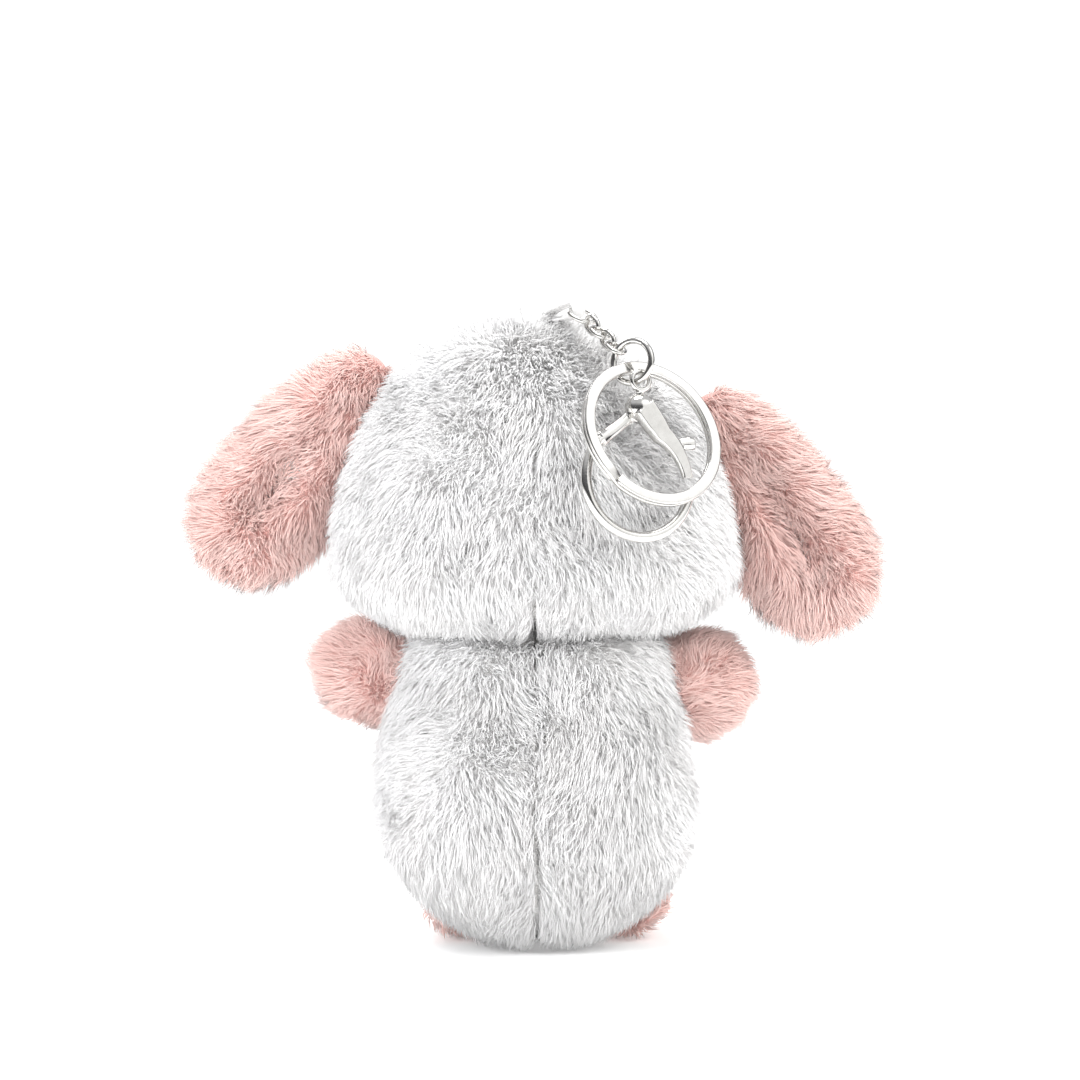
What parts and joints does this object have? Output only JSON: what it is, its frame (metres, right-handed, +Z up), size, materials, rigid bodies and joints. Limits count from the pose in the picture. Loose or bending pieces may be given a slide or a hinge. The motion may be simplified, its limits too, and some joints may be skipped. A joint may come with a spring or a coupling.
{
  "type": "plush keychain",
  "caption": "Seated white plush animal with pink floppy ears, hung by a short chain with a linking ring, a flat split ring and a lobster clasp.",
  "frame": {"origin": "centre of the flat seat that the toy sits on", "axes": "+Z up; the face looks along -Y, so the chain and rings lie on the +Y side of the head; +X is the toy's left"},
  "size_m": [0.1407, 0.0814, 0.1291],
  "materials": {
    "white_plush": "short soft fur",
    "pink_plush": "short soft fur",
    "sole_plush": "short velour",
    "seam_cloth": "knit backing with thread",
    "stuffing": "polyester fill",
    "ribbon": "woven ribbon",
    "stitch_thread": "embroidery thread",
    "eye_plastic": "gloss",
    "nose_plastic": "satin",
    "washer_plastic": "moulded",
    "nickel": "bright nickel plate",
    "spring_steel": "bare wire"
  },
  "bodies": {
    "plush": {"face_panel": "white_plush", "head_back_left_panel": "white_plush", "head_back_right_panel": "white_plush", "head_back_seam": "seam_cloth", "head_stuffing": "stuffing", "left_eye": "eye_plastic", "right_eye": "eye_plastic", "left_eye_washer": "washer_plastic", "right_eye_washer": "washer_plastic", "nose": "nose_plastic", "nose_washer": "washer_plastic", "mouth_stitch": "stitch_thread", "belly_panel": "white_plush", "body_back_left_panel": "white_plush", "body_back_right_panel": "white_plush", "body_back_seam": "seam_cloth", "seat_panel": "white_plush", "neck_seam": "seam_cloth", "body_stuffing": "stuffing", "left_leg_panel": "pink_plush", "left_foot_sole": "sole_plush", "left_leg_stuffing": "stuffing", "right_leg_panel": "pink_plush", "right_foot_sole": "sole_plush", "right_leg_stuffing": "stuffing", "ribbon_loop": "ribbon"},
    "left_ear": {"left_ear_front_panel": "pink_plush", "left_ear_back_panel": "pink_plush", "left_ear_stuffing": "stuffing"},
    "right_ear": {"right_ear_front_panel": "pink_plush", "right_ear_back_panel": "pink_plush", "right_ear_stuffing": "stuffing"},
    "left_arm": {"left_arm_upper_panel": "pink_plush", "left_arm_lower_panel": "pink_plush", "left_arm_stuffing": "stuffing"},
    "right_arm": {"right_arm_upper_panel": "pink_plush", "right_arm_lower_panel": "pink_plush", "right_arm_stuffing": "stuffing"},
    "jump_ring": {"jump_ring": "nickel"},
    "chain_link_1": {"chain_link_1": "nickel"},
    "chain_link_2": {"chain_link_2": "nickel"},
    "chain_link_3": {"chain_link_3": "nickel"},
    "chain_link_4": {"chain_link_4": "nickel"},
    "linking_ring": {"linking_ring": "nickel"},
    "split_ring": {"split_ring": "nickel"},
    "clasp": {"clasp_body": "nickel", "clasp_pivot": "nickel", "clasp_spring": "spring_steel"},
    "clasp_lever": {"clasp_lever": "nickel"}
  },
  "joints": [
    {"name": "left_ear_flap", "type": "hinge", "parent": "plush", "child": "left_ear", "pos_m": [0.0368, -0.003, 0.1128], "axis": [0, -1, 0], "range_deg": [0, 70]},
    {"name": "right_ear_flap", "type": "hinge", "parent": "plush", "child": "right_ear", "pos_m": [-0.0388, -0.003, 0.105], "axis": [0, 1, 0], "range_deg": [0, 70]},
    {"name": "left_arm_turn", "type": "hinge", "parent": "plush", "child": "left_arm", "pos_m": [0.024, -0.003, 0.0518], "axis": [0.8888, -0.1527, 0.4322], "range_deg": [0, 10], "stiffness_Nm_per_rad": 0.02},
    {"name": "right_arm_turn", "type": "hinge", "parent": "plush", "child": "right_arm", "pos_m": [-0.023, -0.003, 0.051], "axis": [-0.8869, -0.159, 0.4338], "range_deg": [-15, 8], "stiffness_Nm_per_rad": 0.02},
    {"name": "jump_ring_lift", "type": "hinge", "parent": "plush", "child": "jump_ring", "pos_m": [-0.008, 0.0124, 0.1273], "axis": [0.8131, 0.5821, 0], "range_deg": [0, 25]},
    {"name": "chain_link_1_lift", "type": "hinge", "parent": "jump_ring", "child": "chain_link_1", "pos_m": [-0.01042, 0.01578, 0.1248], "axis": [0.8131, 0.5821, 0], "range_deg": [0, 20]},
    {"name": "chain_link_2_lift", "type": "hinge", "parent": "chain_link_1", "child": "chain_link_2", "pos_m": [-0.01192, 0.01787, 0.12326], "axis": [0.8131, 0.5821, 0], "range_deg": [0, 20]},
    {"name": "chain_link_3_lift", "type": "hinge", "parent": "chain_link_2", "child": "chain_link_3", "pos_m": [-0.01341, 0.01996, 0.12171], "axis": [0.8131, 0.5821, 0], "range_deg": [0, 20]},
    {"name": "chain_link_4_lift", "type": "hinge", "parent": "chain_link_3", "child": "chain_link_4", "pos_m": [-0.01491, 0.02205, 0.12017], "axis": [0.8131, 0.5821, 0], "range_deg": [0, 20]},
    {"name": "linking_ring_lift", "type": "hinge", "parent": "chain_link_4", "child": "linking_ring", "pos_m": [-0.01641, 0.02414, 0.11862], "axis": [0.8131, 0.5821, 0], "range_deg": [0, 20]},
    {"name": "split_ring_swing", "type": "hinge", "parent": "linking_ring", "child": "split_ring", "pos_m": [-0.01782, 0.02533, 0.11529], "axis": [0.8152, 0.5651, -0.127], "range_deg": [0, 60]},
    {"name": "clasp_swing", "type": "hinge", "parent": "linking_ring", "child": "clasp", "pos_m": [-0.02035, 0.02722, 0.11297], "axis": [-0.4017, 0.8938, 0.1994], "range_deg": [-6, 0]},
    {"name": "clasp_lever_open", "type": "hinge", "parent": "clasp", "child": "clasp_lever", "pos_m": [-0.02038, 0.02839, 0.1077], "axis": [0.4017, -0.8938, -0.1994], "range_deg": [0, 30], "stiffness_Nm_per_rad": 0.005}
  ]
}
